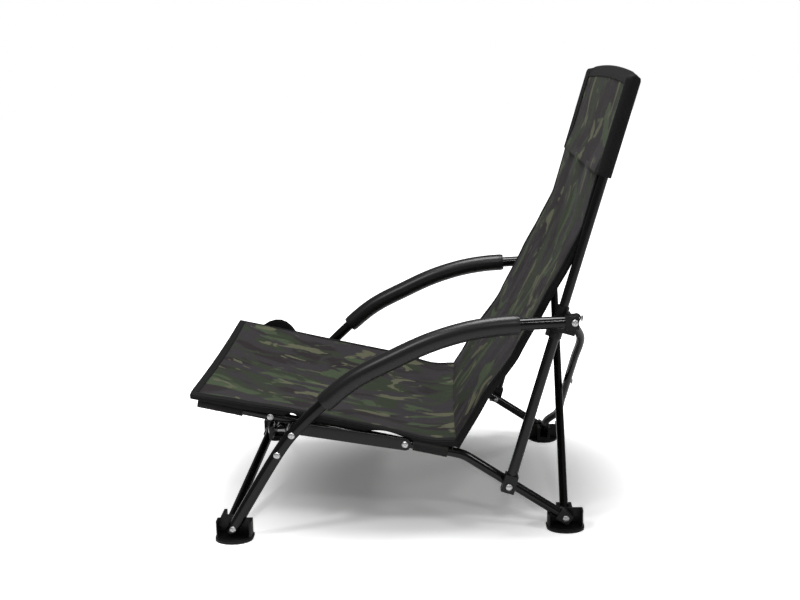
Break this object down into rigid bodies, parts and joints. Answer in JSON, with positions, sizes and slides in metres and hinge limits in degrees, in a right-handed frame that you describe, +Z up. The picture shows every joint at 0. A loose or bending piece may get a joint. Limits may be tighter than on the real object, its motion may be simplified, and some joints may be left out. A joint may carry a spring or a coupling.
{
  "type": "folding camping chair",
  "caption": "Low folding fishing chair with a fabric seat and back, padded arms, crossed braces and swivel feet.",
  "frame": {"origin": "on the floor, under the middle of the open chair", "axes": "+Z up, +X to the sitter's left, -Y the way the sitter faces"},
  "size_m": [0.6766, 0.806, 0.8405],
  "materials": {
    "frame": "satin black",
    "plastic": "matte black",
    "foam": "matte foam",
    "rivet": "bright zinc",
    "camo": "woven polyester, dark woodland print",
    "mesh": "black polyester"
  },
  "bodies": {
    "left_front_foot": {"left_front_foot": "plastic"},
    "front_brace_from_left": {"front_brace_from_left": "frame", "front_centre_rivet": "rivet"},
    "front_brace_from_right": {"front_brace_from_right": "frame"},
    "right_front_foot": {"right_front_foot": "plastic"},
    "left_brace_top": {"left_brace_top_pin": "rivet"},
    "left_arm": {"left_arm_tube": "frame", "left_arm_grip": "foam", "left_arm_end_plug": "plastic", "left_front_foot_rivet": "rivet", "left_leg_stop_rivet": "rivet", "left_link_front_rivet": "rivet", "left_arm_rear_rivet": "rivet"},
    "left_slider": {"left_slider": "plastic"},
    "left_upright": {"left_upright_lower": "frame", "left_upright_upper": "frame", "left_upright_foot_plug": "plastic", "left_stop_collar": "plastic", "left_upright_foot_rivet": "rivet", "head_pocket": "camo"},
    "left_rail": {"left_seat_rail": "frame", "left_leg_end_plug": "plastic", "left_brace_knee": "plastic", "left_knee_rivet": "rivet", "left_knee_plate_rivet": "rivet", "left_link_rear_rivet": "rivet", "left_rear_foot_rivet": "rivet", "seat_sling": "camo"},
    "left_link": {"left_link_bar": "frame"},
    "left_rear_foot": {"left_rear_foot": "plastic"},
    "rear_brace_from_left": {"rear_brace_from_left": "frame", "rear_brace_from_left_rivet": "rivet"},
    "right_brace_top": {"right_brace_top_pin": "rivet"},
    "right_arm": {"right_arm_tube": "frame", "right_arm_grip": "foam", "right_arm_end_plug": "plastic", "right_front_foot_rivet": "rivet", "right_leg_stop_rivet": "rivet", "right_link_front_rivet": "rivet", "right_arm_rear_rivet": "rivet"},
    "right_slider": {"right_slider": "plastic"},
    "right_upright": {"right_upright_lower": "frame", "right_upright_upper": "frame", "right_upright_foot_plug": "plastic", "right_stop_collar": "plastic", "right_upright_foot_rivet": "rivet"},
    "right_rail": {"right_seat_rail": "frame", "right_leg_end_plug": "plastic", "right_brace_knee": "plastic", "right_knee_rivet": "rivet", "right_knee_plate_rivet": "rivet", "right_link_rear_rivet": "rivet", "right_rear_foot_rivet": "rivet", "side_pocket": "mesh"},
    "right_link": {"right_link_bar": "frame"},
    "right_rear_foot": {"right_rear_foot": "plastic"},
    "rear_brace_from_right": {"rear_brace_from_right": "frame", "rear_brace_from_right_rivet": "rivet", "rear_centre_rivet": "rivet"},
    "back_sling": {"back_sling": "camo"}
  },
  "joints": [
    {"name": "fold", "type": "hinge", "parent": "left_front_foot", "child": "front_brace_from_left", "pos_m": [0.2633, -0.3349, 0.025], "axis": [0, 1, 0], "range_deg": [0, 57.46]},
    {"name": "front_cross", "type": "hinge", "parent": "front_brace_from_left", "child": "front_brace_from_right", "pos_m": [0, -0.28567, 0.10933], "axis": [0, 1, 0], "range_deg": [-114.94, 0]},
    {"name": "right_front_foot_turn", "type": "hinge", "parent": "front_brace_from_right", "child": "right_front_foot", "pos_m": [-0.2633, -0.3151, 0.025], "axis": [0, 1, 0], "range_deg": [0, 57.48]},
    {"name": "left_arm_turn", "type": "hinge", "parent": "left_front_foot", "child": "left_arm", "pos_m": [0.31135, -0.325, 0.023], "axis": [1, 0, 0], "range_deg": [0, 22.05]},
    {"name": "left_brace_top_turn", "type": "hinge", "parent": "front_brace_from_right", "child": "left_brace_top", "pos_m": [0.2633, -0.23645, 0.19366], "axis": [0, 1, 0], "range_deg": [0, 57.48]},
    {"name": "left_rail_turn", "type": "hinge", "parent": "left_brace_top", "child": "left_rail", "pos_m": [0.2633, -0.24635, 0.19366], "axis": [1, 0, 0], "range_deg": [-52.9, 0], "deforming": ["seat_sling"]},
    {"name": "left_upright_turn", "type": "hinge", "parent": "left_rail", "child": "left_upright", "pos_m": [0.2864, 0.18173, 0.09254], "axis": [1, 0, 0], "range_deg": [0, 50.52], "deforming": ["head_pocket"]},
    {"name": "left_slider_slide", "type": "slide", "parent": "left_upright", "child": "left_slider", "axis": [0, 0.279, 0.9603], "range_m": [0, 0.15315]},
    {"name": "left_link_turn", "type": "hinge", "parent": "left_rail", "child": "left_link", "pos_m": [0.2776, -0.00775, 0.16964], "axis": [1, 0, 0], "range_deg": [0, 98.79]},
    {"name": "left_rear_foot_turn", "type": "hinge", "parent": "left_rail", "child": "left_rear_foot", "pos_m": [0.266, 0.288, 0.023], "axis": [1, 0, 0], "range_deg": [0, 38.46]},
    {"name": "rear_brace_from_left_turn", "type": "hinge", "parent": "left_rear_foot", "child": "rear_brace_from_left", "pos_m": [0.236, 0.288, 0.025], "axis": [0, 0.9987, -0.0513], "range_deg": [0, 43.63]},
    {"name": "right_arm_turn", "type": "hinge", "parent": "right_front_foot", "child": "right_arm", "pos_m": [-0.31135, -0.325, 0.023], "axis": [1, 0, 0], "range_deg": [0, 22.05]},
    {"name": "right_brace_top_turn", "type": "hinge", "parent": "front_brace_from_left", "child": "right_brace_top", "pos_m": [-0.2633, -0.25625, 0.19366], "axis": [0, 1, 0], "range_deg": [-57.48, 0]},
    {"name": "right_rail_turn", "type": "hinge", "parent": "right_brace_top", "child": "right_rail", "pos_m": [-0.2633, -0.24635, 0.19366], "axis": [1, 0, 0], "range_deg": [-52.9, 0]},
    {"name": "right_upright_turn", "type": "hinge", "parent": "right_rail", "child": "right_upright", "pos_m": [-0.2864, 0.18173, 0.09254], "axis": [1, 0, 0], "range_deg": [0, 50.52]},
    {"name": "right_slider_slide", "type": "slide", "parent": "right_upright", "child": "right_slider", "axis": [0, 0.279, 0.9603], "range_m": [0, 0.15315]},
    {"name": "right_link_turn", "type": "hinge", "parent": "right_rail", "child": "right_link", "pos_m": [-0.2776, -0.00775, 0.16964], "axis": [1, 0, 0], "range_deg": [0, 98.79]},
    {"name": "right_rear_foot_turn", "type": "hinge", "parent": "right_rail", "child": "right_rear_foot", "pos_m": [-0.266, 0.288, 0.023], "axis": [1, 0, 0], "range_deg": [0, 38.46]},
    {"name": "rear_brace_from_right_turn", "type": "hinge", "parent": "right_rear_foot", "child": "rear_brace_from_right", "pos_m": [-0.236, 0.288, 0.025], "axis": [0, 0.9987, -0.0513], "range_deg": [-43.63, 0]},
    {"name": "back_sling_turn", "type": "hinge", "parent": "left_upright", "child": "back_sling", "pos_m": [0.2864, 0.33593, 0.6663], "axis": [1, 0, 0], "range_deg": [0, 7.52], "deforming": ["back_sling"]}
  ],
  "couplings": [
    {"joint": "front_cross", "follows": "fold", "ratio": -2},
    {"joint": "right_front_foot_turn", "follows": "fold", "ratio": 1},
    {"joint": "left_arm_turn", "follows": "fold", "ratio": 0.38342},
    {"joint": "left_brace_top_turn", "follows": "fold", "ratio": 1},
    {"joint": "left_rail_turn", "follows": "fold", "ratio": -0.92024},
    {"joint": "left_upright_turn", "follows": "fold", "ratio": 0.8788},
    {"joint": "left_slider_slide", "follows": "fold", "m_per_rad": 0.15262},
    {"joint": "left_link_turn", "follows": "fold", "ratio": 1.719},
    {"joint": "left_rear_foot_turn", "follows": "fold", "ratio": 0.66896},
    {"joint": "rear_brace_from_left_turn", "follows": "fold", "ratio": 0.759},
    {"joint": "right_arm_turn", "follows": "fold", "ratio": 0.38342},
    {"joint": "right_brace_top_turn", "follows": "fold", "ratio": -1},
    {"joint": "right_rail_turn", "follows": "fold", "ratio": -0.92024},
    {"joint": "right_upright_turn", "follows": "fold", "ratio": 0.8788},
    {"joint": "right_slider_slide", "follows": "fold", "m_per_rad": 0.15262},
    {"joint": "right_link_turn", "follows": "fold", "ratio": 1.719},
    {"joint": "right_rear_foot_turn", "follows": "fold", "ratio": 0.66896},
    {"joint": "rear_brace_from_right_turn", "follows": "fold", "ratio": -0.759},
    {"joint": "back_sling_turn", "follows": "fold", "ratio": 0.13053}
  ]
}
